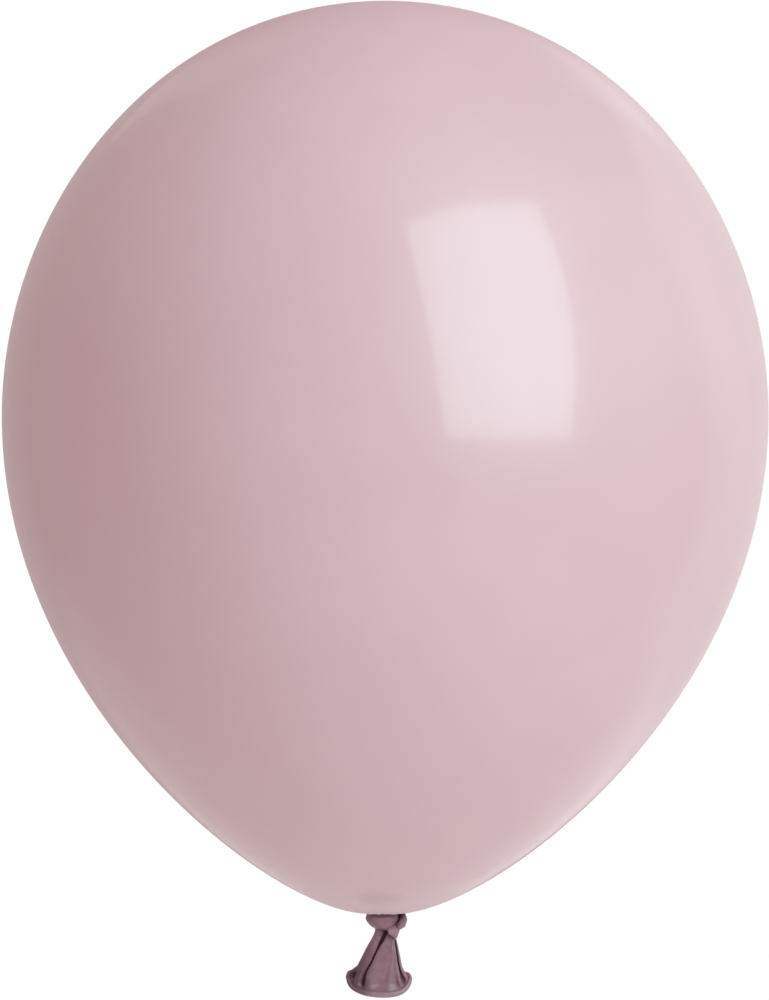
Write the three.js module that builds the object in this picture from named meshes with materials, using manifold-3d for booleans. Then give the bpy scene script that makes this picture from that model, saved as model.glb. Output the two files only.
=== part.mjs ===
// A tied latex party balloon, blown up to 280 mm across, as the pieces that it divides into at its knot.
//
// Millimetres, +Z up, the front to -Y. The origin is on the balloon's axis, at the underside of the
// inflated envelope, in the groove where a ribbon is tied. The envelope is a thin shell above it; the
// knot, the gathered neck and the flared tail with its rolled lip hang below it.

import * as THREE from "three";
import { mergeVertices } from "three/addons/utils/BufferGeometryUtils.js";
import Module from "manifold-3d";

const wasm = await Module();
wasm.setup();

// The envelope: an egg-shaped shell, widest above its middle
const envelopeRadius = 140;
const equatorHeight = 182;
const crownHeight = 333.3;
const crownFlat = 5; // radius of the level spot on the crown
const skin = 0.4;
const envelopeSides = 48;
const throatRadius = 3.1; // the gathered strand where it leaves the envelope
const throatHole = throatRadius + 0.5;
const dimpleDepth = 2; // the skin turns up by this much round the strand
const dimpleRing = 6; // radius of the lowest ring of skin

// The knot: one turn of the neck round the strand, and the end of that turn tucked down in front
const gap = 0.35; // between neighbouring pieces
const turnHeight = 6.2;
const turnThickness = 2.6;
const turnHole = throatRadius + gap;
const turnTop = -0.25;
const tuckRadius = 1.6;

// The tail: gathered under the knot, flared and flattened, ending in a rolled lip
const swing = new THREE.Vector3(0, 0, -5.6); // centre of the ball that the tail swings about
const swingBall = 2.6;
const fold = new THREE.Vector3(0, 0, -10.9); // on the axis that the tail folds about
const foldRoll = 1.7; // radius of the rounded fold at the top of the sleeve
const foldHalfWidth = 4.2;
const gatherHalfWidth = 4.4;
const gatherHalfDepth = 2.4;
const sleeveHalfWidth = 4.6; // at the fold
const sleeveHalfDepth = 1.1;
const sleeveWall = 0.5;
const lipCentre = new THREE.Vector3(-0.9, 0, -29.2);
const lipHalfWidth = 10.5; // measured to the middle of the roll
const lipHalfDepth = 4.4;
const lipRadius = 1.5;
const lipRise = 5.4; // the lip's two ends stand this much above its middle

const stretchedLatex = new THREE.MeshStandardMaterial({ color: "#d8bcc1", roughness: 0.25, metalness: 0 });
const slackLatex = new THREE.MeshStandardMaterial({ color: "#8a6a73", roughness: 0.45, metalness: 0 });

// A closed geometry as a solid that can be joined and cut
function solidOf(geometry) {
  const bare = geometry.clone();
  bare.deleteAttribute("normal");
  bare.deleteAttribute("uv");
  const merged = mergeVertices(bare, 1e-4);
  const mesh = new wasm.Mesh({
    numProp: 3,
    vertProperties: merged.attributes.position.array,
    triVerts: new Uint32Array(merged.index.array),
  });
  return new wasm.Manifold(mesh);
}

function geometryOf(solid) {
  const { vertProperties, triVerts, numProp, numVert } = solid.getMesh();
  const positions = new Float32Array(numVert * 3);
  for (let i = 0; i < numVert; i++) {
    positions.set(vertProperties.subarray(i * numProp, i * numProp + 3), i * 3);
  }
  const geometry = new THREE.BufferGeometry();
  geometry.setAttribute("position", new THREE.BufferAttribute(positions, 3));
  geometry.setIndex(new THREE.BufferAttribute(triVerts, 1));
  geometry.computeVertexNormals();
  return geometry;
}

// A profile of (radius, height) turned about Z
function turned(profile, sides) {
  return new THREE.LatheGeometry(profile, sides).rotateX(Math.PI / 2);
}

// A closed skin through rings with equal numbers of points, capped at the first and the last
function loft(rings) {
  const sides = rings[0].length;
  const points = rings.flat();
  const middle = (ring) => ring.reduce((sum, p) => sum.add(p), new THREE.Vector3()).divideScalar(sides);
  const firstCap = points.push(middle(rings[0])) - 1;
  const lastCap = points.push(middle(rings.at(-1))) - 1;
  const faces = [];
  for (let i = 0; i < sides; i++) {
    const next = (i + 1) % sides;
    faces.push(firstCap, next, i);
    for (let row = 0; row < rings.length - 1; row++) {
      const a = row * sides;
      const b = a + sides;
      faces.push(a + i, a + next, b + next, a + i, b + next, b + i);
    }
    const last = (rings.length - 1) * sides;
    faces.push(lastCap, last + i, last + next);
  }
  return new THREE.BufferGeometry().setFromPoints(points).setIndex(faces);
}

function ellipse(centre, halfWidth, halfDepth, rise, sides) {
  return Array.from({ length: sides }, (_, i) => {
    const angle = (i / sides) * 2 * Math.PI;
    const across = Math.cos(angle);
    return new THREE.Vector3(
      centre.x + halfWidth * across,
      centre.y + halfDepth * Math.sin(angle),
      centre.z + rise * across ** 2,
    );
  });
}

// The envelope's outline from the throat up to the crown, as (radius, height)
function envelopeOutline() {
  const outline = new THREE.Path();
  outline.moveTo(throatHole, dimpleDepth);
  outline.bezierCurveTo(throatHole, 0.7, 4.6, 0, dimpleRing, 0);
  outline.bezierCurveTo(39, 0, envelopeRadius, 75, envelopeRadius, equatorHeight);
  outline.bezierCurveTo(envelopeRadius, equatorHeight + 75, 85, crownHeight, crownFlat, crownHeight);
  const crownCurve = outline.curves.pop();
  const wallCurve = outline.curves.pop();
  return [...outline.getPoints(4), ...wallCurve.getPoints(14).slice(1), ...crownCurve.getPoints(12).slice(1)];
}

// The same outline, moved inwards by the thickness of the skin
function movedIn(outline, distance) {
  return outline.map((point, i) => {
    const before = outline[Math.max(i - 1, 0)];
    const after = outline[Math.min(i + 1, outline.length - 1)];
    const along = after.clone().sub(before).normalize();
    return new THREE.Vector2(point.x - along.y * distance, point.y + along.x * distance);
  });
}

function makeEnvelope() {
  const outer = envelopeOutline();
  const inner = movedIn(outer, skin);
  inner.forEach((point, i) => (point.x = i < 5 ? Math.max(point.x, throatHole) : point.x));
  inner[inner.length - 1].set(crownFlat, crownHeight - skin);
  const below = -dimpleDepth;
  const outside = [new THREE.Vector2(0, dimpleDepth), ...outer, new THREE.Vector2(0, crownHeight)];
  const inside = [
    new THREE.Vector2(0, below),
    new THREE.Vector2(throatHole, below),
    ...inner,
    new THREE.Vector2(0, crownHeight - skin),
  ];
  const shell = solidOf(turned(outside, envelopeSides)).subtract(solidOf(turned(inside, envelopeSides)));
  return geometryOf(shell);
}

// The neck where it is drawn together into the knot: a pleated strand with a rounded top
function makeThroat() {
  const foot = swing.z + swingBall + gap;
  const top = 6;
  const profile = [
    [0, foot],
    [throatRadius - 0.5, foot],
    [throatRadius - 0.1, foot + 0.5],
    [throatRadius - 0.1, 3],
    [throatRadius - 0.7, 4.8],
    [throatRadius - 1.9, top - 0.2],
    [0, top],
  ].map(([radius, height]) => new THREE.Vector2(radius, height));
  const strand = turned(profile, 36);
  const pleats = 9;
  const pleatDepth = 0.1;
  const position = strand.attributes.position;
  for (let i = 0; i < position.count; i++) {
    const angle = Math.atan2(position.getY(i), position.getX(i));
    const grown = 1 - pleatDepth * (0.5 + 0.5 * Math.cos(pleats * angle));
    position.setXY(i, position.getX(i) * grown, position.getY(i) * grown);
  }
  return strand;
}

// The turn of the neck round the strand: a flat band bent into a ring
function makeKnotTurn() {
  const tube = turnThickness / 2;
  const ring = new THREE.TorusGeometry(turnHole + tube, tube, 14, 40);
  return ring.scale(1, 1, turnHeight / turnThickness).translate(0, 0, turnTop - turnHeight / 2);
}

// The end of the turn, round the right side and down across the front of the gathered neck
function makeKnotTuck() {
  const beside = turnHole + turnThickness + gap + tuckRadius;
  const course = new THREE.CatmullRomCurve3([
    new THREE.Vector3(112, beside, -3.4), // degrees round the axis, distance from it, height
    new THREE.Vector3(50, beside, -2.6),
    new THREE.Vector3(5, beside, -2.8),
    new THREE.Vector3(-28, beside, -4.6),
    new THREE.Vector3(-46, beside - 0.1, -7),
    new THREE.Vector3(-58, beside - 1.6, -9.2),
  ]);
  const bends = course.getPoints(24).map(({ x: turn, y: distance, z: height }) => {
    const angle = THREE.MathUtils.degToRad(turn);
    return new THREE.Vector3(distance * Math.cos(angle), distance * Math.sin(angle), height);
  });
  return strand(new THREE.CatmullRomCurve3(bends), tuckRadius, 26, 16);
}

// A round strand along a path, with rounded ends
function strand(path, radius, rows, sides) {
  const frames = path.computeFrenetFrames(rows);
  const rings = Array.from({ length: rows + 1 }, (_, row) => {
    const fromEnd = (Math.min(row, rows - row) / rows) * path.getLength() + radius / 16;
    const across = radius * Math.sqrt(1 - Math.max(0, 1 - fromEnd / radius) ** 2);
    const centre = path.getPointAt(row / rows);
    return Array.from({ length: sides }, (_, i) => {
      const angle = (i / sides) * 2 * Math.PI;
      const out = frames.normals[row].clone().multiplyScalar(across * Math.cos(angle));
      return out.addScaledVector(frames.binormals[row], across * Math.sin(angle)).add(centre);
    });
  });
  return loft(rings);
}

// The neck gathered under the knot: a ball that swings inside the turn, widening to a hollowed foot
function makeTailGather() {
  const foot = fold.z + 0.9;
  const rings = [
    ellipse(new THREE.Vector3(0, 0, swing.z - 0.6), 2.3, 2.2, 0, 24),
    ellipse(new THREE.Vector3(0, 0, swing.z - 2.4), 2.9, 2.3, 0, 24),
    ellipse(new THREE.Vector3(0, 0, foot), gatherHalfWidth, gatherHalfDepth, 0, 24),
  ];
  const ball = new THREE.SphereGeometry(swingBall, 20, 12).translate(swing.x, swing.y, swing.z);
  const hollow = new THREE.CylinderGeometry(foldRoll + gap, foldRoll + gap, 3 * gatherHalfWidth, 24);
  hollow.rotateZ(Math.PI / 2).translate(fold.x, fold.y, fold.z);
  return geometryOf(solidOf(loft(rings.reverse())).add(solidOf(ball)).subtract(solidOf(hollow)));
}

// One ring of the sleeve, at a share of the way from the fold to the lip, taken in by inset
function sleeveRing(share, inset) {
  const top = new THREE.Vector3(fold.x, fold.y, fold.z - 1.2);
  const mouth = lipCentre.clone();
  mouth.z += lipRadius + gap;
  return ellipse(
    top.lerp(mouth, share),
    THREE.MathUtils.lerp(sleeveHalfWidth, lipHalfWidth, share) - inset,
    THREE.MathUtils.lerp(sleeveHalfDepth, lipHalfDepth, share) - inset,
    lipRise * share ** 2,
    32,
  );
}

// The flared end of the neck: a flattened cup, open at the lip, hanging from the rolled fold
function makeTailSleeve() {
  const outside = [0, 0.2, 0.4, 0.6, 0.8, 1].map((share) => sleeveRing(share, 0));
  const inside = [1, 0.8, 0.6, 0.45].map((share) => sleeveRing(share, sleeveWall));
  const roll = new THREE.CapsuleGeometry(foldRoll, 2 * (foldHalfWidth - foldRoll), 6, 20);
  roll.rotateZ(Math.PI / 2).translate(fold.x, fold.y, fold.z);
  return geometryOf(solidOf(loft([...outside, ...inside].reverse())).add(solidOf(roll)));
}

// The rolled bead round the mouth
function makeRolledLip() {
  const rim = ellipse(lipCentre, lipHalfWidth, lipHalfDepth, lipRise, 24);
  const path = new THREE.CatmullRomCurve3(rim, true);
  return new THREE.TubeGeometry(path, 56, lipRadius, 12, true);
}

function piece(name, geometry, material) {
  const mesh = new THREE.Mesh(geometry, material);
  mesh.name = name;
  return mesh;
}

const balloon = new THREE.Group();
balloon.add(
  piece("envelope", makeEnvelope(), stretchedLatex),
  piece("throat_strand", makeThroat(), slackLatex),
  piece("knot_turn", makeKnotTurn(), slackLatex),
  piece("knot_tuck", makeKnotTuck(), slackLatex),
  piece("tail_gather", makeTailGather(), slackLatex),
  piece("tail_sleeve", makeTailSleeve(), slackLatex),
  piece("rolled_lip", makeRolledLip(), slackLatex),
);

export default balloon;
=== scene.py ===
import math

import bmesh
import bpy
from mathutils import Matrix, Vector, noise


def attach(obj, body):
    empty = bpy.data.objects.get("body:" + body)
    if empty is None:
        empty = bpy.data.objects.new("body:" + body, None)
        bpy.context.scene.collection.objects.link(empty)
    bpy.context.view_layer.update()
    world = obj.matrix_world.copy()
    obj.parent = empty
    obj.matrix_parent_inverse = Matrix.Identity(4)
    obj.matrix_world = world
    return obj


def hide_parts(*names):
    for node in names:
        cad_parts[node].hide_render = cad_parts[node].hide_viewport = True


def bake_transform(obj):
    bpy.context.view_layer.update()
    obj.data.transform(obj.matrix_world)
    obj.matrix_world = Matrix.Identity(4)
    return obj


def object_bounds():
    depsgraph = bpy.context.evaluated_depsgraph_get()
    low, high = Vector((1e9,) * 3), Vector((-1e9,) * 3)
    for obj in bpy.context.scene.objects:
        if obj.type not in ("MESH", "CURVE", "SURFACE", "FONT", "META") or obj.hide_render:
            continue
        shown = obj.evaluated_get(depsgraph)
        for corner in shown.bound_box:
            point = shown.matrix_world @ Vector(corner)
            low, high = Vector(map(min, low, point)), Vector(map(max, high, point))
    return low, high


# A tied latex balloon. Lengths of the balloon's pieces are in millimetres, in the frame's own axes: Z
# up, the front to -Y, the origin where the skin is tied. They turn to metres where a mesh is made.
# The studio is in metres.

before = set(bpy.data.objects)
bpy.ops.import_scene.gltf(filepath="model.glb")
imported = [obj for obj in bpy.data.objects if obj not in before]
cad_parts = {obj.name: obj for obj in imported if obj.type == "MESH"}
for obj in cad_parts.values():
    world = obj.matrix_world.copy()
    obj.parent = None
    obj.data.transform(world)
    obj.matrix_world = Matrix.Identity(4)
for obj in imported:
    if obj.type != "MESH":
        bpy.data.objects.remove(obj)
cadLow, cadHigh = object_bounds()
mm = 0.001


def toLinear(hexColour):
    channels = [int(hexColour[i:i + 2], 16) / 255 for i in (1, 3, 5)]
    linear = [c / 12.92 if c <= 0.04045 else ((c + 0.055) / 1.055) ** 2.4 for c in channels]
    return (*linear, 1.0)


def mix(a, b, share):
    return a + (b - a) * share


def smooth(share):
    share = min(max(share, 0.0), 1.0)
    return share * share * (3 - 2 * share)


# A value that changes along a piece, read from (place, value) pairs: smooth, and never past a pair's
# own value
def along(pairs, place):
    if place <= pairs[0][0]:
        return pairs[0][1]
    if place >= pairs[-1][0]:
        return pairs[-1][1]
    i = next(n for n in range(1, len(pairs)) if place <= pairs[n][0])
    steps = [0, 0, 0]  # the slopes of the lines before, through and after this place
    for k, n in enumerate((i - 1, i, i + 1)):
        if 0 < n < len(pairs):
            steps[k] = (pairs[n][1] - pairs[n - 1][1]) / (pairs[n][0] - pairs[n - 1][0])
    slopes = [2 * a * b / (a + b) if a * b > 0 else 0 for a, b in zip(steps, steps[1:])]
    if i == 1:
        slopes[0] = steps[1]
    if i == len(pairs) - 1:
        slopes[1] = steps[1]
    (x0, y0), (x1, y1) = pairs[i - 1], pairs[i]
    t, width = (place - x0) / (x1 - x0), x1 - x0
    rise = (2 * t**3 - 3 * t**2 + 1) * y0 + (3 * t**2 - 2 * t**3) * y1
    return rise + (t**3 - 2 * t**2 + t) * width * slopes[0] + (t**3 - t**2) * width * slopes[1]


def bezier(corners, t):
    a, b, c, d = corners
    return tuple((1 - t)**3 * a[k] + 3 * (1 - t)**2 * t * b[k] + 3 * (1 - t) * t**2 * c[k] + t**3 * d[k]
                 for k in range(len(a)))


# A closed mesh through rings of points. A ring of one point closes an end, and wrapped joins the last
# ring to the first.
def skinOver(name, rings, material, wrapped=False):
    vertices, faces, starts = [], [], []
    for ring in rings:
        starts.append(len(vertices))
        vertices += [Vector(p) * mm for p in ring]
    pairs = list(zip(range(len(rings) - 1), range(1, len(rings))))
    if wrapped:
        pairs.append((len(rings) - 1, 0))
    for a, b in pairs:
        countA, countB = len(rings[a]), len(rings[b])
        sides = max(countA, countB)
        for i in range(sides):
            j = (i + 1) % sides
            quad = [starts[a] + i % countA, starts[a] + j % countA,
                    starts[b] + j % countB, starts[b] + i % countB]
            faces.append(list(dict.fromkeys(quad)))  # three corners where a ring is one point
    mesh = bpy.data.meshes.new(name)
    mesh.from_pydata(vertices, [], faces)
    work = bmesh.new()
    work.from_mesh(mesh)
    bmesh.ops.recalc_face_normals(work, faces=work.faces)
    work.to_mesh(mesh)
    work.free()
    mesh.shade_smooth()
    piece = bpy.data.objects.new(name, mesh)
    bpy.context.scene.collection.objects.link(piece)
    mesh.materials.append(material)
    return piece


# Rings of an oval section swept along a path. Each stop is (x, y, z, half width, half thickness);
# the width lies along across, as far as the path lets it.
def sweep(stops, across, steps, sides, shape=None, closed=False):
    count = len(stops)
    spans = count if closed else count - 1
    line = []
    for n in range(steps + (0 if closed else 1)):
        place = n / steps * spans
        i = min(int(place), spans - 1)
        t = place - i
        near = [stops[(i + k) % count if closed else min(max(i + k, 0), count - 1)]
                for k in (-1, 0, 1, 2)]
        line.append([0.5 * (2 * b + (c - a) * t + (2 * a - 5 * b + 4 * c - d) * t**2
                            + (3 * b - a - 3 * c + d) * t**3) for a, b, c, d in zip(*near)])
    rings = []
    for n, (x, y, z, halfWidth, halfThickness) in enumerate(line):
        before = line[n - 1 if closed else max(n - 1, 0)]
        after = line[(n + 1) % len(line) if closed else min(n + 1, len(line) - 1)]
        ahead = (Vector(after[:3]) - Vector(before[:3])).normalized()
        side = (Vector(across) - ahead * Vector(across).dot(ahead)).normalized()
        out = ahead.cross(side)
        ring = []
        for k in range(sides):
            angle = 2 * math.pi * k / sides
            grown = shape(n / steps, angle) if shape else 1
            ring.append(Vector((x, y, z)) + side * (halfWidth * grown * math.cos(angle))
                        + out * (halfThickness * grown * math.sin(angle)))
        rings.append(ring)
    return rings


def capped(rings):
    def centre(ring):
        return sum(ring, Vector()) / len(ring)
    return [[centre(rings[0])], *rings, [centre(rings[-1])]]


# One node with its settings and its inputs. An input is named, or numbered as i0, i1 and so on, and
# takes a value or the output that feeds it.
def addNode(tree, kind, settings=None, **sockets):
    node = tree.nodes.new(kind)
    for key, value in (settings or {}).items():
        setattr(node, key, value)
    for key, value in sockets.items():
        numbered = key[0] == "i" and key[1:].isdigit()
        socket = node.inputs[int(key[1:]) if numbered else key.replace("_", " ")]
        if isinstance(value, bpy.types.NodeSocket):
            tree.links.new(value, socket)
        else:
            socket.default_value = value
    return node


def newMaterial(name):
    material = bpy.data.materials.new(name)
    material.use_nodes = True
    tree = material.node_tree
    tree.nodes.clear()
    return material, tree


# Natural rubber latex, dip-moulded and blown up tight: a pale pastel film with a wet gloss. Round the
# neck, where it is stretched least, it is dull, and its colour is painted paler there: a painted
# reflection of the pale surroundings, in place of the gloss it loses. At the very neck and at the crown
# the film is thicker, so its colour is deeper there, and the crown is dull as well.
stretchedLook = {
    "tight": "#dcbfc5",
    # painted reflection: the paler colour round the neck stands in for the pale surroundings mirrored in
    # the gloss
    "talcAndSheen": "#efe0e2",
    "thick": "#bf99a3",
    "tieDepth": 0.15,  # how far the colour goes to thick at the tie, and at the crown
    "crownDepth": 0.2,
    "thickReach": (3, 9),  # from the tie, where the deeper colour starts to fade, and where it is gone
    "crownReach": (4, 34),  # the same from the crown
    "dullCrownReach": (36, 124),
    # from the tie, where the dull neck and its painted paler colour start to fade, and where they are gone
    "sheenAndDullReach": (14, 50),
    "talcAndSheenCover": 0.75,
    "cloudSize": 55,  # across one faint cloud in the film's thickness
    "cloudDepth": 0.1,
    "roughness": 0.32,
    "dullRoughness": 0.7,
    "gloss": 0.9,
    "glossRoughness": 0.11,
    "ior": 1.52,
}


def stretchedLatex(look):
    material, tree = newMaterial("stretchedLatex")
    place = addNode(tree, "ShaderNodeTexCoord")

    def fadeFrom(point, reach, near, far):
        away = addNode(tree, "ShaderNodeVectorMath", {"operation": "DISTANCE"},
                       i0=place.outputs["Object"], i1=point)
        fade = addNode(tree, "ShaderNodeMapRange", {"interpolation_type": "SMOOTHERSTEP"},
                       Value=away.outputs["Value"], From_Min=reach[0] * mm, From_Max=reach[1] * mm,
                       To_Min=near, To_Max=far)
        return fade.outputs[0]

    tie, crown = (0, 0, 0), (0, 0, cadHigh.z)
    clouds = addNode(tree, "ShaderNodeTexNoise", Vector=place.outputs["Object"],
                     Scale=1 / (look["cloudSize"] * mm), Detail=3.0, Roughness=0.55)
    cloudy = addNode(tree, "ShaderNodeMapRange", Value=clouds.outputs[0],
                     From_Min=0.35, From_Max=0.65, To_Min=0.0, To_Max=look["cloudDepth"])
    ends = addNode(tree, "ShaderNodeMath", {"operation": "MAXIMUM"},
                   i0=fadeFrom(tie, look["thickReach"], look["tieDepth"], 0.0),
                   i1=fadeFrom(crown, look["crownReach"], look["crownDepth"], 0.0))
    depth = addNode(tree, "ShaderNodeMath", {"operation": "ADD", "use_clamp": True},
                    i0=ends.outputs[0], i1=cloudy.outputs[0])
    # painted reflection: the colour is painted paler towards the tie
    withTalcAndSheen = addNode(tree, "ShaderNodeMix", {"data_type": "RGBA"},
                     i0=fadeFrom(tie, look["sheenAndDullReach"], look["talcAndSheenCover"], 0.0),
                     i6=toLinear(look["tight"]), i7=toLinear(look["talcAndSheen"]))
    colour = addNode(tree, "ShaderNodeMix", {"data_type": "RGBA"}, i0=depth.outputs[0],
                     i6=withTalcAndSheen.outputs[2], i7=toLinear(look["thick"]))
    glossy = addNode(tree, "ShaderNodeMath", {"operation": "MINIMUM"},
                     i0=fadeFrom(tie, look["sheenAndDullReach"], 0.0, 1.0),
                     i1=fadeFrom(crown, look["dullCrownReach"], 0.0, 1.0))
    roughness = addNode(tree, "ShaderNodeMapRange", Value=glossy.outputs[0],
                        To_Min=look["dullRoughness"], To_Max=look["roughness"])
    gloss = addNode(tree, "ShaderNodeMath", {"operation": "MULTIPLY"},
                    i0=glossy.outputs[0], i1=look["gloss"])
    shader = addNode(tree, "ShaderNodeBsdfPrincipled", Base_Color=colour.outputs[2],
                     Roughness=roughness.outputs[0], Coat_Weight=gloss.outputs[0],
                     Coat_Roughness=look["glossRoughness"], IOR=look["ior"])
    addNode(tree, "ShaderNodeOutputMaterial", Surface=shader.outputs[0])
    return material


# The same latex left slack: several times thicker, so a deep mauve, with a satin gloss, fine creases
# from being pulled, and a little of the talc that it came out of the mould with. The real creases are
# finer than these, which are as coarse as they have to be to show.
slackLook = {
    "colour": "#a37f8e",
    "shade": "#7b5864",
    "talcAndSheen": "#b99da8",
    "hollow": "#523641",  # painted shade down in a crease, where the surfaces lie close together
    "creaseShadeReach": 3.5,  # how close the surfaces are where the painted shade starts
    "creaseShadeDepth": 0.75,
    # painted shade: the colour darkens towards the left side, which the light from the right leaves in
    # shade
    "paintedLeftShade": 0.8,
    "paintedLeftShadeReach": (-9, 0),  # x
    "mottleSize": 2.2,
    "creaseSpacing": 0.4,
    "creaseDepth": 0.05,
    "creaseRun": 0.12,  # a crease is about eight times as long as it is wide
    "talcAndSheenCover": 0.2,
    "roughness": 0.36,
    "gloss": 0.4,
    "glossRoughness": 0.22,
    "ior": 1.52,
}


def slackLatex(name, look):
    material, tree = newMaterial(name)
    place = addNode(tree, "ShaderNodeTexCoord")
    mottle = addNode(tree, "ShaderNodeTexNoise", Vector=place.outputs["Object"],
                     Scale=1 / (look["mottleSize"] * mm), Detail=3.0)
    colour = addNode(tree, "ShaderNodeMix", {"data_type": "RGBA"}, i0=mottle.outputs[0],
                     i6=toLinear(look["shade"]), i7=toLinear(look["colour"]))
    stretchedPlace = addNode(tree, "ShaderNodeMapping", Vector=place.outputs["Object"],
                             Scale=(1, 1, look["creaseRun"]))
    creases = addNode(tree, "ShaderNodeTexNoise", Vector=stretchedPlace.outputs[0],
                      Scale=1 / (look["creaseSpacing"] * mm), Detail=2.0)
    talcAndSheen = addNode(tree, "ShaderNodeMapRange", Value=creases.outputs[0],
                   From_Min=0.55, From_Max=0.8, To_Max=look["talcAndSheenCover"])
    withTalcAndSheen = addNode(tree, "ShaderNodeMix", {"data_type": "RGBA"}, i0=talcAndSheen.outputs[0],
                     i6=colour.outputs[2], i7=toLinear(look["talcAndSheen"]))
    bump = addNode(tree, "ShaderNodeBump", Height=creases.outputs[0], Distance=look["creaseDepth"] * mm,
                   Strength=0.6)
    # painted shade: where ambient occlusion finds surfaces close by, in creases and under the knot's
    # pieces, the colour darkens
    creaseOcclusion = addNode(tree, "ShaderNodeAmbientOcclusion", {"samples": 8},
                      Distance=look["creaseShadeReach"] * mm)
    creaseShade = addNode(tree, "ShaderNodeMapRange", Value=creaseOcclusion.outputs["AO"],
                      From_Min=0.35, From_Max=0.9, To_Min=look["creaseShadeDepth"], To_Max=0.0)
    # painted shade: darker towards the left side, away from the light
    axes = addNode(tree, "ShaderNodeSeparateXYZ", Vector=place.outputs["Object"])
    leftShade = addNode(tree, "ShaderNodeMapRange", {"interpolation_type": "SMOOTHERSTEP"},
                      Value=axes.outputs["X"], From_Min=look["paintedLeftShadeReach"][0] * mm,
                      From_Max=look["paintedLeftShadeReach"][1] * mm, To_Min=look["paintedLeftShade"], To_Max=0.0)
    paintedShade = addNode(tree, "ShaderNodeMath", {"operation": "MAXIMUM"},
                   i0=creaseShade.outputs[0], i1=leftShade.outputs[0])
    shadedColour = addNode(tree, "ShaderNodeMix", {"data_type": "RGBA"}, i0=paintedShade.outputs[0],
                     i6=withTalcAndSheen.outputs[2], i7=toLinear(look["hollow"]))
    shader = addNode(tree, "ShaderNodeBsdfPrincipled", Base_Color=shadedColour.outputs[2],
                     Roughness=look["roughness"], IOR=look["ior"], Coat_Weight=look["gloss"],
                     Coat_Roughness=look["glossRoughness"], Normal=bump.outputs[0],
                     Coat_Normal=bump.outputs[0])
    addNode(tree, "ShaderNodeOutputMaterial", Surface=shader.outputs[0])
    return material


# Where it is rolled up or turned over, at the lip and the fold tucked over the tail, the same latex is
# paler: partly its own colour, partly a painted highlight
rolledHighlightLook = {
    **slackLook,
    "colour": "#aa8d96",
    "shade": "#94747e",
    "talcAndSheen": "#c1acb4",
    "hollow": "#5f414c",
}

skinMaterial = stretchedLatex(stretchedLook)
neckMaterial = slackLatex("slackLatex", slackLook)
lipMaterial = slackLatex("rolledLatexHighlighted", rolledHighlightLook)
print("materials made")


# The skin: an egg turned about Z, with the neck's pleats fanning out under it

skinShape = {
    "radius": 140,
    "equator": 182,
    "crown": 333.3,
    "lowerPulls": (75, 39),  # how far the lower curve runs straight at the equator and at the tie
    "upperPulls": (75, 85),
    "tieRing": 6,  # radius where the underside turns up into the neck
    "neckRadius": 2.8,
    "neckDepth": 2.4,
    "neckPulls": (0.6, 4.4),  # the z and the radius where the turn into the neck bends
    "neckRows": 8,
    "lowerRows": 84,
    "upperRows": 64,
    "crowding": 1.25,  # how the lower rows draw together towards the tie
    "sides": 192,
    "pleats": ((17, 0.5, 1.1), (29, 0.3, 0.4), (11, 0.25, 2.3)),  # how many, how strong, where they start
    "pleatDepth": 0.24,
    "pleatMiddle": 0.4,  # how far they lift the skin as a whole
    "pleatReach": 7,  # over this the pleats fade to a third
}


def makeSkin(shape):
    equator, crown, radius = shape["equator"], shape["crown"], shape["radius"]
    neckRadius, tieRing = shape["neckRadius"], shape["tieRing"]
    neckHeight, neckWidth = shape["neckPulls"]
    neck = [(neckRadius, shape["neckDepth"]), (neckRadius, neckHeight), (neckWidth, 0), (tieRing, 0)]
    lower = [(tieRing, 0), (shape["lowerPulls"][1], 0),
             (radius, shape["lowerPulls"][0]), (radius, equator)]
    upper = [(radius, equator), (radius, equator + shape["upperPulls"][0]),
             (shape["upperPulls"][1], crown), (0, crown)]
    neckRows, lowerRows, upperRows = shape["neckRows"], shape["lowerRows"], shape["upperRows"]
    outline = [bezier(neck, n / neckRows) for n in range(neckRows)]
    outline += [bezier(lower, (n / lowerRows)**shape["crowding"]) for n in range(lowerRows)]
    outline += [bezier(upper, n / upperRows) for n in range(upperRows)]
    rings = [[(0, 0, shape["neckDepth"])]]
    for r, z in outline:
        fade = 0
        if neckRadius < r and z < equator:
            fade = shape["pleatDepth"] * math.exp(-max(r - tieRing, 0) / shape["pleatReach"])
        ring = []
        for i in range(shape["sides"]):
            a = 2 * math.pi * i / shape["sides"]
            pleat = shape["pleatMiddle"]
            for count, depth, start in shape["pleats"]:
                pleat += depth * math.cos(count * a + start)
            ring.append((r * math.cos(a), r * math.sin(a), z + fade * pleat))
        rings.append(ring)
    rings.append([(0, 0, crown)])
    return skinOver("envelopeSkin", rings, skinMaterial)


skin = makeSkin(skinShape)
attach(skin, "envelope")
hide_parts("envelope")
print("skin made")


# The knot: the turn of the neck, the strand it goes round, the loop at its right and the fold tucked
# over the tail

turnShape = {
    "centre": 0.45,  # x
    "radius": 4.85,
    "thickness": 1.25,  # half of it, measured from the axis outwards
    "middle": -1.7,  # z, and its reach above and below that
    "above": 1.9,
    "below": 4.2,
    "narrowing": (0.4, 1.8),  # how much it draws in below, at the right and more at the left
    "wrinkle": 0.1,
    "lean": 0.35,  # how much lower the right side hangs
    "around": 120,
    "sides": 64,
}


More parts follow.
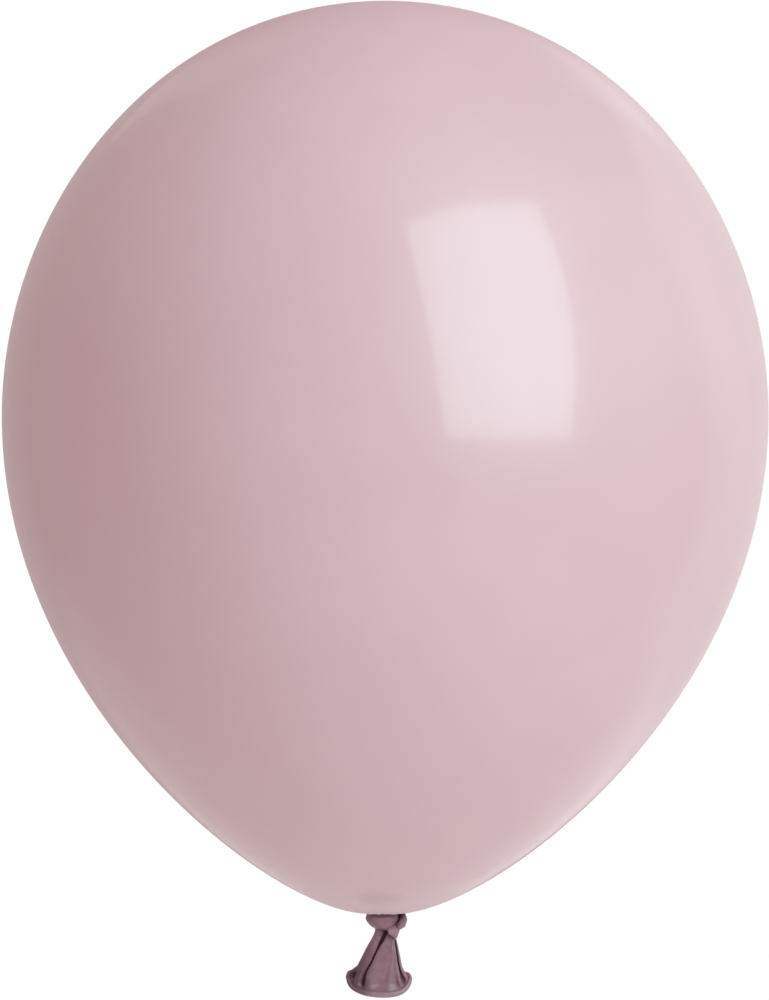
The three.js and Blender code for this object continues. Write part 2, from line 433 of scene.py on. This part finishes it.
def makeTurn(shape):
    rings = []
    leastNarrow, moreNarrow = shape["narrowing"]
    for n in range(shape["around"]):
        a = 2 * math.pi * n / shape["around"]
        ring = []
        for k in range(shape["sides"]):
            b = 2 * math.pi * k / shape["sides"]
            low = max(-math.sin(b), 0)
            narrowing = (leastNarrow + moreNarrow * (0.5 - 0.5 * math.cos(a))) * low**2
            # folds run round it, deepest on its outer face, and wander a little
            folds = math.cos(6 * b + 1.6 * math.sin(a) + 0.6) * (0.4 + 0.6 * math.cos(b / 2)**2)
            folds += noise.noise(Vector((2.2 * math.cos(a), 2.2 * math.sin(a), 1.5 * math.sin(b))))
            bulge = math.copysign(abs(math.cos(b))**0.75, math.cos(b))
            radius = shape["radius"] - narrowing + (shape["thickness"] + shape["wrinkle"] * folds) * bulge
            height = shape["middle"] + (shape["above"] if b < math.pi else shape["below"]) * math.sin(b)
            height -= shape["lean"] * math.cos(a) * low
            ring.append((shape["centre"] + radius * math.cos(a), radius * math.sin(a), height))
        rings.append(ring)
    return skinOver("knotTurn", rings, neckMaterial, wrapped=True)


strandShape = {
    "top": 2.9,
    "bottom": -5.2,
    "radius": 2.9,
    "thinner": 1.3,  # how much narrower it is inside the turn
    "thinsFrom": -1.2,  # z, and over how long
    "thinsOver": 2,
    "pleats": ((13, 0.22, 0), (22, 0.12, 1)),  # how many, how deep, and where they start
    "rows": 12,
    "sides": 72,
}


def makeStrand(shape):
    top, bottom = shape["top"], shape["bottom"]
    rings = [[(0, 0, top)]]
    for n in range(shape["rows"] + 1):
        z = mix(top, bottom, n / shape["rows"])
        thinned = smooth((shape["thinsFrom"] - z) / shape["thinsOver"])
        ring = []
        for i in range(shape["sides"]):
            a = 2 * math.pi * i / shape["sides"]
            r = shape["radius"] - shape["thinner"] * thinned
            for count, depth, start in shape["pleats"]:
                r += depth * math.cos(count * a + start)
            ring.append((r * math.cos(a), r * math.sin(a), z))
        rings.append(ring)
    rings.append([(0, 0, bottom)])
    return skinOver("throatStrand", rings, neckMaterial)


# Stops are x, y, z, half width and half thickness. Ripples are how many lie round it, how deep, and a
# seed.
loopShape = {
    "stops": [
        (-3.8, 3.4, -3.4, 0.3, 0.3),
        (-2.6, 4.5, -3.2, 1.2, 1.1),
        (0.6, 6.3, -2.5, 1.7, 1.5),
        (3.9, 6.2, -1.6, 1.85, 1.7),
        (6.5, 4.2, -1.1, 1.9, 1.7),
        (7.75, 1.4, -1.6, 1.8, 1.5),
        (7.95, -1.1, -2.7, 1.7, 1.5),
        (7.25, -2.8, -4.1, 1.4, 1.3),
        (6.0, -3.4, -5.3, 0.9, 0.9),
        (5.1, -3.3, -5.9, 0.3, 0.3),
    ],
    "across": (0, 0.5, 1),
    "steps": 90,
    "sides": 44,
    "ripples": (5, 0.045, 0.5),
}

foldShape = {
    "stops": [
        (3.2, -1.4, -2.8, 0.5, 0.3),
        (3.6, -2.1, -4.0, 1.7, 0.8),
        (4.3, -3.2, -5.1, 2.4, 1.1),
        (4.8, -4.2, -6.3, 2.3, 1.1),
        (5.05, -3.5, -7.5, 1.5, 0.95),
        (5.15, -2.6, -8.6, 0.8, 0.7),
        (5.15, -1.9, -9.5, 0.3, 0.3),
    ],
    "across": (0.9, 0.4, 0),
    "steps": 70,
    "sides": 40,
    "ripples": (3, 0.05, 1.4),
}


def rippled(count, depth, seed):
    def grown(place, angle):
        ripple = math.cos(count * angle + seed + 2 * place)
        ripple += noise.noise(Vector((4 * place + seed, math.cos(angle), math.sin(angle))))
        return 1 + depth * ripple
    return grown


def makeBand(name, shape, material):
    rings = sweep(shape["stops"], shape["across"], shape["steps"], shape["sides"],
                  rippled(*shape["ripples"]))
    return skinOver(name, capped(rings), material)


turn = makeTurn(turnShape)
strand = makeStrand(strandShape)
loop = makeBand("knotLoop", loopShape, neckMaterial)
tuckedFold = makeBand("tuckedFold", foldShape, lipMaterial)
for piece, stoodFor in ((turn, "knot_turn"), (strand, "throat_strand"), (loop, "knot_tuck")):
    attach(piece, "knot")
    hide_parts(stoodFor)
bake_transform(tuckedFold)
print("knot made")


# The tail: the slack end of the neck, pressed into a tube, a broad flap and a narrow strip side by
# side, with two folds behind, open at the lip

tailShape = {
    "top": -3.9,
    "bottom": -29.5,
    "mouthMiddle": -0.65,
    "mouthHalfWidth": 11.4,
    "mouthHalfDepth": 4.1,
    # x and height along the lip, in front and behind: its two ends stand above its middle
    "mouthHeights": [(-12.05, -23.3), (-11.6, -25.2), (-10.4, -26.9), (-8.2, -28.1), (-4.7, -29.1),
                     (1.7, -29.6), (6.2, -29.0), (8.4, -28.0), (9.9, -26.4), (10.5, -25.1),
                     (10.75, -24.0)],
    "heightsBehind": [(-12.05, -23.3), (-11.6, -22.3), (-10.2, -22.0), (-5, -23.2), (0, -24.0),
                      (5, -23.6), (8.8, -22.6), (10.3, -22.9), (10.75, -24.0)],
    # x of each line down the front, from the knot at 0 to the lip at 1
    "leftEdge": [(0, -2.2), (0.1, -2.3), (0.2, -3.25), (0.3, -4.6), (0.4, -5.85), (0.5, -6.9),
                 (0.6, -7.9), (0.7, -8.9), (0.8, -10.6), (0.9, -11.8), (1, -12.05)],
    "leftCrease": [(0, 1.9), (0.1, 1.75), (0.2, 0.75), (0.3, -0.45), (0.4, -1.7), (0.5, -2.75),
                   (0.6, -4.0), (0.7, -5.3), (0.8, -6.05), (0.9, -6.4), (1, -6.6)],
    "rightCrease": [(0, 4.3), (0.1, 4.6), (0.2, 4.95), (0.3, 5.3), (0.4, 5.65), (0.5, 6.0), (0.6, 6.4),
                    (0.7, 6.9), (0.8, 7.6), (0.9, 8.6), (1, 9.2)],
    "rightEdge": [(0, 4.8), (0.1, 5.1), (0.2, 5.5), (0.3, 6.1), (0.4, 6.6), (0.5, 7.1), (0.6, 7.5),
                  (0.7, 8.0), (0.8, 8.8), (0.9, 10.0), (1, 10.75)],
    # half the width of each crease, and how far forward its floor lies
    "leftGap": [(0, 0.4), (0.1, 0.8), (0.22, 0.75), (0.35, 0.34), (0.5, 0.22), (0.7, 0.25),
                (0.85, 0.55), (1, 0.6)],
    "rightGap": [(0, 0.12), (0.3, 0.15), (0.7, 0.2), (0.86, 0.6), (1, 0.65)],
    "creaseFloor": [(0, -0.7), (0.3, -0.7), (0.5, -0.3), (0.7, 0.2), (0.85, 0.5), (1, 1.2)],
    # how far forward the tube, the flap and the strip stand, and how far back the two folds behind do
    "tubeDepth": [(0, 1.9), (0.3, 2.1), (0.6, 2.2), (0.85, 2.9), (1, 3.4)],
    "flapDepth": [(0, 1.2), (0.15, 1.5), (0.3, 2.3), (0.6, 2.9), (0.85, 3.5), (1, 3.9)],
    "stripDepth": [(0, 0.5), (0.4, 0.9), (0.8, 1.5), (1, 2.0)],
    "backDepth": [(0, 2.0), (0.3, 2.0), (0.6, 2.3), (0.85, 3.1), (1, 3.6)],
    # how much of that depth the crease between those two folds keeps: it fades away up at the gather
    "backCrease": [(0, 0.8), (0.2, 0.65), (0.4, 0.25), (0.6, 0.05), (1, 0)],
    # the tube hollows at its outer side above the lip, and two soft valleys fade in down the flap
    "sideHollow": [(0, 0), (0.68, 0), (0.82, 1), (1, 1)],
    "valleyPlace": [(0, 0.7), (0.5, 0.7), (0.65, 0.62), (0.8, 0.48), (0.93, 0.32), (1, 0.3)],
    "valleyDepth": [(0, 0), (0.45, 0), (0.7, 0.3), (0.9, 0.55), (1, 0.5)],
    "pleatPlace": 0.87,
    "pleatDepth": [(0, 0), (0.6, 0), (0.75, 0.4), (0.9, 0.8), (1, 0.7)],
    "backCreasePlace": 0.56,  # across the back, from the left edge
    "rightFoldDepth": 0.85,  # as a share of the left fold's
    "flattened": 0.2,  # y of the plane that it is pressed flat to
    "wear": 0.16,
    "opensFrom": 0.85,  # how far down it starts to open to the round mouth, and over how long
    "opensOver": 0.13,
    "dishReach": (0.04, 0.92),  # how far in the inside of the mouth starts and stops
    "dishRise": 0.4,
    "rows": 90,
    "frontSteps": 4,  # between one line and the next
    "backSteps": 26,
    "dishRows": 12,
}


# The lines down the front where they cross at v: each one's x, and how far forward it lies
def frontLines(shape, v):
    def at(key):
        return along(shape[key], v)
    left, right = at("leftEdge"), at("rightEdge")
    tubeEnd, flapStart = at("leftCrease") - at("leftGap"), at("leftCrease") + at("leftGap")
    flapEnd, stripStart = at("rightCrease") - at("rightGap"), at("rightCrease") + at("rightGap")
    tube, flap, floor, hollow = at("tubeDepth"), at("flapDepth"), at("creaseFloor"), at("sideHollow")

    def onFlap(share):
        return mix(flapStart, flapEnd, share)

    valley, pleat = at("valleyPlace"), shape["pleatPlace"]
    return [
        # the tube
        (left, 0),
        (mix(left, tubeEnd, mix(0.14, 0.2, hollow)), mix(0.7 * tube, -0.4 * tube, hollow)),
        (mix(left, tubeEnd, mix(0.3, 0.36, hollow)), mix(0.9 * tube, 0.75 * tube, hollow)),
        (mix(left, tubeEnd, 0.62), tube),
        (tubeEnd, 0.72 * tube),
        (at("leftCrease"), floor),
        # the flap
        (flapStart, 0.86 * flap),
        (onFlap(0.11), flap),
        (onFlap(valley), 0.97 * flap - at("valleyDepth")),
        (onFlap((valley + pleat) / 2), flap),
        (onFlap(pleat), 0.95 * flap - at("pleatDepth")),
        (onFlap(0.95), 0.93 * flap),
        (flapEnd, 0.75 * flap),
        (at("rightCrease"), floor),
        # the strip
        (stripStart, 0.8 * at("stripDepth")),
        (mix(stripStart, right, 0.5), at("stripDepth")),
        (right, 0),
    ]


# The tail's outline at v: x, y, and -1 in front or 1 behind
def tailSection(shape, v):
    flat = shape["flattened"]
    lines = frontLines(shape, v)
    left, right = lines[0][0], lines[-1][0]
    points = []
    for (x0, _), (x1, _) in zip(lines, lines[1:]):
        for i in range(shape["frontSteps"]):
            x = mix(x0, x1, i / shape["frontSteps"])
            points.append((x, flat - along(lines, x), -1))
    back, depth = mix(left, right, shape["backCreasePlace"]), along(shape["backDepth"], v)
    for start, end, height in ((right, back, shape["rightFoldDepth"] * depth), (back, left, depth)):
        for i in range(shape["backSteps"]):
            angle = math.pi * i / shape["backSteps"]
            x = (start + end) / 2 + (start - end) / 2 * math.cos(angle)
            kept = along(shape["backCrease"], v) if abs(x - back) < abs(start - end) / 2 else 0
            points.append((x, flat + height * mix(kept, 1, math.sin(angle)**0.6), 1))
    return left, right, points


def makeTail(shape):
    rows = shape["rows"]
    middle, halfWidth, halfDepth = shape["mouthMiddle"], shape["mouthHalfWidth"], shape["mouthHalfDepth"]
    outside = []
    for row in range(rows + 1):
        v = row / rows
        left, right, points = tailSection(shape, v)
        opened = smooth((v - shape["opensFrom"]) / shape["opensOver"])
        ring = []
        for x, y, side in points:
            atMouth = middle + halfWidth * (2 * (x - left) / (right - left) - 1)
            c = (atMouth - middle) / halfWidth
            onMouth = side * halfDepth * math.sqrt(max(1 - c * c, 0))
            worn = shape["wear"] * noise.noise(Vector((0.5 * x, y, 9 * v)))
            worn *= smooth(v * 8) * min(abs(y - shape["flattened"]), 1)  # none at the knot or the edges
            heights = shape["mouthHeights"] if side < 0 else shape["heightsBehind"]
            z = mix(shape["top"], shape["bottom"], v) + (along(heights, atMouth) - shape["bottom"]) * v**3
            ring.append((x, mix(y + side * worn, onMouth, opened), z))
        outside.append(ring)
    # the inside of the mouth: a shallow dish between the lip's front and back
    inside = []
    dishRows = shape["dishRows"]
    for row in range(dishRows):
        inward = mix(*shape["dishReach"], row / (dishRows - 1))
        ring = []
        for x, y, z in outside[-1]:
            atMouth = mix(x, middle, inward)
            across = 0.5 + 0.5 * y * (1 - inward) / halfDepth
            level = mix(along(shape["mouthHeights"], atMouth),
                        along(shape["heightsBehind"], atMouth), across)
            ring.append((atMouth, y * (1 - inward), mix(z, level + shape["dishRise"], smooth(inward * 3))))
        inside.append(ring)
    first = [(1.2, 0, shape["top"] + 0.4)]
    last = [(middle, 0, sum(z for _, _, z in inside[-1]) / len(inside[-1]))]
    return skinOver("tailSleeve", [first, *outside, *inside, last], neckMaterial)


# The neck drawn together inside the tail's top, which shows only when the tail folds
gatherShape = {
    "top": (1.0, 1.2, -4.4),
    "bottom": (1.2, 1.2, -9.0),
    "halfWidth": 1.9,
    "halfDepth": 0.4,
    "pleats": (9, 0.07),  # how many, and how deep as a share of its width
    "rows": 14,
    "sides": 60,
}


def makeGather(shape):
    rings = [[shape["top"]]]
    count, depth = shape["pleats"]
    for n in range(1, shape["rows"]):
        t = n / shape["rows"]
        x, y, z = (mix(a, b, t) for a, b in zip(shape["top"], shape["bottom"]))
        swell = math.sin(math.pi * min(t * 1.1, 0.9))**0.5  # full in the middle, drawn in at its ends
        ring = []
        for i in range(shape["sides"]):
            a = 2 * math.pi * i / shape["sides"]
            r = swell * (1 + depth * math.cos(count * a + 2 * t))
            ring.append((x + shape["halfWidth"] * r * math.cos(a),
                         y + shape["halfDepth"] * r * math.sin(a), z))
        rings.append(ring)
    rings.append([shape["bottom"]])
    return skinOver("gatheredNeck", rings, neckMaterial)


lipShape = {
    "radius": 1.1,  # half its thickness, and the same where it turns back at its two ends
    "endRadius": 0.78,
    "unevenness": 0.05,
    "rollMarks": 0.035,
    "stops": 40,
    "steps": 160,
    "sides": 28,
}


def makeLip(shape, mouth):
    stops = []
    for n in range(shape["stops"]):
        a = 2 * math.pi * n / shape["stops"]
        x = mouth["mouthMiddle"] + mouth["mouthHalfWidth"] * math.cos(a)
        uneven = 1 + shape["unevenness"] * noise.noise(Vector((0.5 * x, math.sin(a), 0.3)))
        radius = mix(shape["radius"], shape["endRadius"], math.cos(a)**4) * uneven
        heights = mouth["mouthHeights"] if math.sin(a) < 0 else mouth["heightsBehind"]
        stops.append((x, mouth["mouthHalfDepth"] * math.sin(a), along(heights, x), radius, radius))

    def rolled(place, angle):
        return 1 + shape["rollMarks"] * math.cos(3 * angle + 4 * math.pi * place)

    rings = sweep(stops, (0, 0, 1), shape["steps"], shape["sides"], rolled, closed=True)
    return skinOver("rolledLip", rings, lipMaterial, wrapped=True)


tail = makeTail(tailShape)
gather = makeGather(gatherShape)
lip = makeLip(lipShape, tailShape)
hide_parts("tail_sleeve")
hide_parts("tail_gather")
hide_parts("rolled_lip")
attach(gather, "gather")
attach(lip, "tail")
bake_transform(tail)
print("tail made")


# The studio, in metres: one tall softbox at the front right, soft fills, a pale floor. The softbox
# and the two panels behind show in the gloss, and the fills only light the surface.

lights = {
    "softbox": {"place": (0.52, -0.767, 0.565), "size": (0.74, 1.06), "power": 5.9, "colour": "#dcffff",
                "roll": 1, "inGloss": True},
    "frontFill": {"place": (0, -1.9, 0.3), "size": (1.6, 1.6), "power": 1.75},
    "frontRightFill": {"place": (0.9, -1.4, 0.2), "size": (1.0, 1.6), "power": 2.4},
    "topFill": {"place": (0, 0, 1.8), "size": (1.6, 1.6), "power": 3.65},
    "backRightFill": {"place": (1.2, 1.2, 0.3), "size": (1.6, 1.6), "power": 7.6},
    "backRightPanel": {"place": (1.04, 1.2, 0.35), "size": (1.9, 1.9), "power": 3.1, "inGloss": True},
    "topBackPanel": {"place": (0, 1.3, 1.3), "size": (1.8, 0.9), "power": 0.9, "inGloss": True},
    "backFill": {"place": (0, 2.6, 0.4), "size": (0.6, 0.6), "power": 7},
}

surroundings = {
    "aim": (0, 0, 0.182),  # what the lights point at
    "ambient": "#ffe7e7",
    "ambientStrength": 0.52,
    "paper": "#f4f3f3",  # matte white paper, well below the balloon
    "paperRoughness": 0.9,
    "paperHeight": -0.6,
    "paperReach": 3,
}

view = {
    "distance": 1.8,
    "height": 0.1512,
    "roll": 0.45,  # degrees
    "frameHeight": 0.3662,  # what the picture takes in, at the balloon
}


def addLight(name, place, size, power, colour="#ffffff", roll=0, inGloss=False):
    data = bpy.data.lights.new(name, "AREA")
    data.shape = "RECTANGLE"
    data.size, data.size_y = size
    data.energy = power
    data.color = toLinear(colour)[:3]
    light = bpy.data.objects.new(name, data)
    bpy.context.scene.collection.objects.link(light)
    aim = Vector(surroundings["aim"]) - Vector(place)
    turned = aim.to_track_quat("-Z", "Y").to_matrix().to_4x4()
    light.matrix_world = Matrix.Translation(place) @ turned @ Matrix.Rotation(math.radians(roll), 4, "Z")
    light.visible_glossy = inGloss


# The world and the paper are plain white to the camera, so no floor edge shows, and light the balloon
# as usual
def makeAmbient(look):
    world = bpy.data.worlds.new("studioWorld")
    bpy.context.scene.world = world
    world.use_nodes = True
    tree = world.node_tree
    tree.nodes.clear()
    rays = addNode(tree, "ShaderNodeLightPath")
    seen = addNode(tree, "ShaderNodeBackground", Color=(1, 1, 1, 1), Strength=1.0)
    lit = addNode(tree, "ShaderNodeBackground", Color=toLinear(look["ambient"]),
                  Strength=look["ambientStrength"])
    both = addNode(tree, "ShaderNodeMixShader", i0=rays.outputs["Is Camera Ray"],
                   i1=lit.outputs[0], i2=seen.outputs[0])
    addNode(tree, "ShaderNodeOutputWorld", Surface=both.outputs[0])


def makeFloor(look):
    reach, height = look["paperReach"], look["paperHeight"]
    mesh = bpy.data.meshes.new("floor")
    mesh.from_pydata([(-reach, -reach, height), (reach, -reach, height),
                      (reach, reach, height), (-reach, reach, height)], [], [(0, 1, 2, 3)])
    floor = bpy.data.objects.new("floor", mesh)
    bpy.context.scene.collection.objects.link(floor)
    paper, tree = newMaterial("paperFloor")
    rays = addNode(tree, "ShaderNodeLightPath")
    seen = addNode(tree, "ShaderNodeEmission", Color=(1, 1, 1, 1), Strength=1.0)
    lit = addNode(tree, "ShaderNodeBsdfPrincipled", Base_Color=toLinear(look["paper"]),
                  Roughness=look["paperRoughness"])
    both = addNode(tree, "ShaderNodeMixShader", i0=rays.outputs["Is Camera Ray"],
                   i1=lit.outputs[0], i2=seen.outputs[0])
    addNode(tree, "ShaderNodeOutputMaterial", Surface=both.outputs[0])
    mesh.materials.append(paper)


def makeCamera(shape):
    data = bpy.data.cameras.new("camera")
    data.lens = data.sensor_width * shape["distance"] / shape["frameHeight"]
    data.clip_start, data.clip_end = 0.05, 50
    camera = bpy.data.objects.new("camera", data)
    bpy.context.scene.collection.objects.link(camera)
    level = Matrix.Rotation(math.radians(90), 4, "X")
    rolled = level @ Matrix.Rotation(math.radians(shape["roll"]), 4, "Z")
    camera.matrix_world = Matrix.Translation((0, -shape["distance"], shape["height"])) @ rolled
    bpy.context.scene.camera = camera


for name, settings in lights.items():
    addLight(name, **settings)
makeAmbient(surroundings)
makeFloor(surroundings)
makeCamera(view)
bpy.context.scene.view_settings.view_transform = "Standard"
bpy.context.scene.view_settings.look = "None"
print("studio made")
